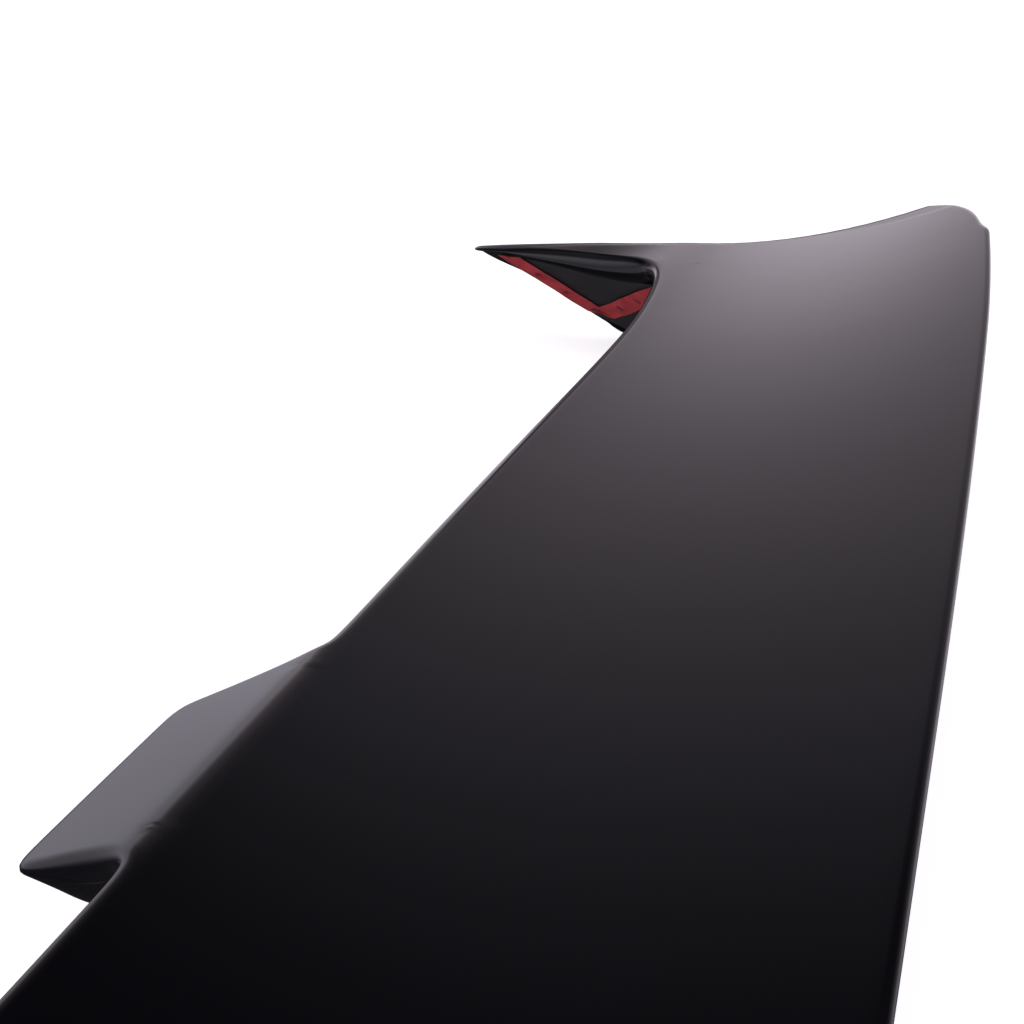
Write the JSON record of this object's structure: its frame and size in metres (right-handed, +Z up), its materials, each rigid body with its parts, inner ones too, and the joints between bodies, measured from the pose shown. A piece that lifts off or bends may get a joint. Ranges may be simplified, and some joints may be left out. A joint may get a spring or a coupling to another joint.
{
  "type": "rear wing",
  "caption": "Gloss black rear wing with a low centre foot and two turned-down tips that sweep forward into horn-shaped end feet with red-lined adhesive strips.",
  "frame": {"origin": "middle of the centre foot's mounting face, on the liner, midway between the two studs", "axes": "+X to the car's right along the span, +Y to the front of the car, +Z up out of the mounting plane"},
  "size_m": [1.3086, 0.3348, 0.1254],
  "materials": {
    "paint": "gloss black paint under clear coat",
    "panel": "unpainted moulded plastic, fine grain",
    "foam": "closed-cell adhesive foam",
    "liner": "red peel-off film",
    "steel": "zinc plated",
    "seal": "soft closed-cell rubber"
  },
  "bodies": {
    "root": {"upper_skin": "paint", "lower_skin": "paint", "centre_base_panel": "panel", "right_base_panel": "panel", "left_base_panel": "panel", "right_outer_foam": "foam", "right_outer_liner": "liner", "right_rear_foam": "foam", "right_rear_liner": "liner", "left_outer_foam": "foam", "left_outer_liner": "liner", "left_rear_foam": "foam", "left_rear_liner": "liner", "centre_front_foam": "foam", "centre_front_liner": "liner", "centre_rear_foam": "foam", "centre_rear_liner": "liner", "centre_right_foam": "foam", "centre_right_liner": "liner", "centre_left_foam": "foam", "centre_left_liner": "liner", "front_stud": "steel", "rear_stud": "steel", "front_stud_seal": "seal", "rear_stud_seal": "seal"}
  },
  "joints": []
}
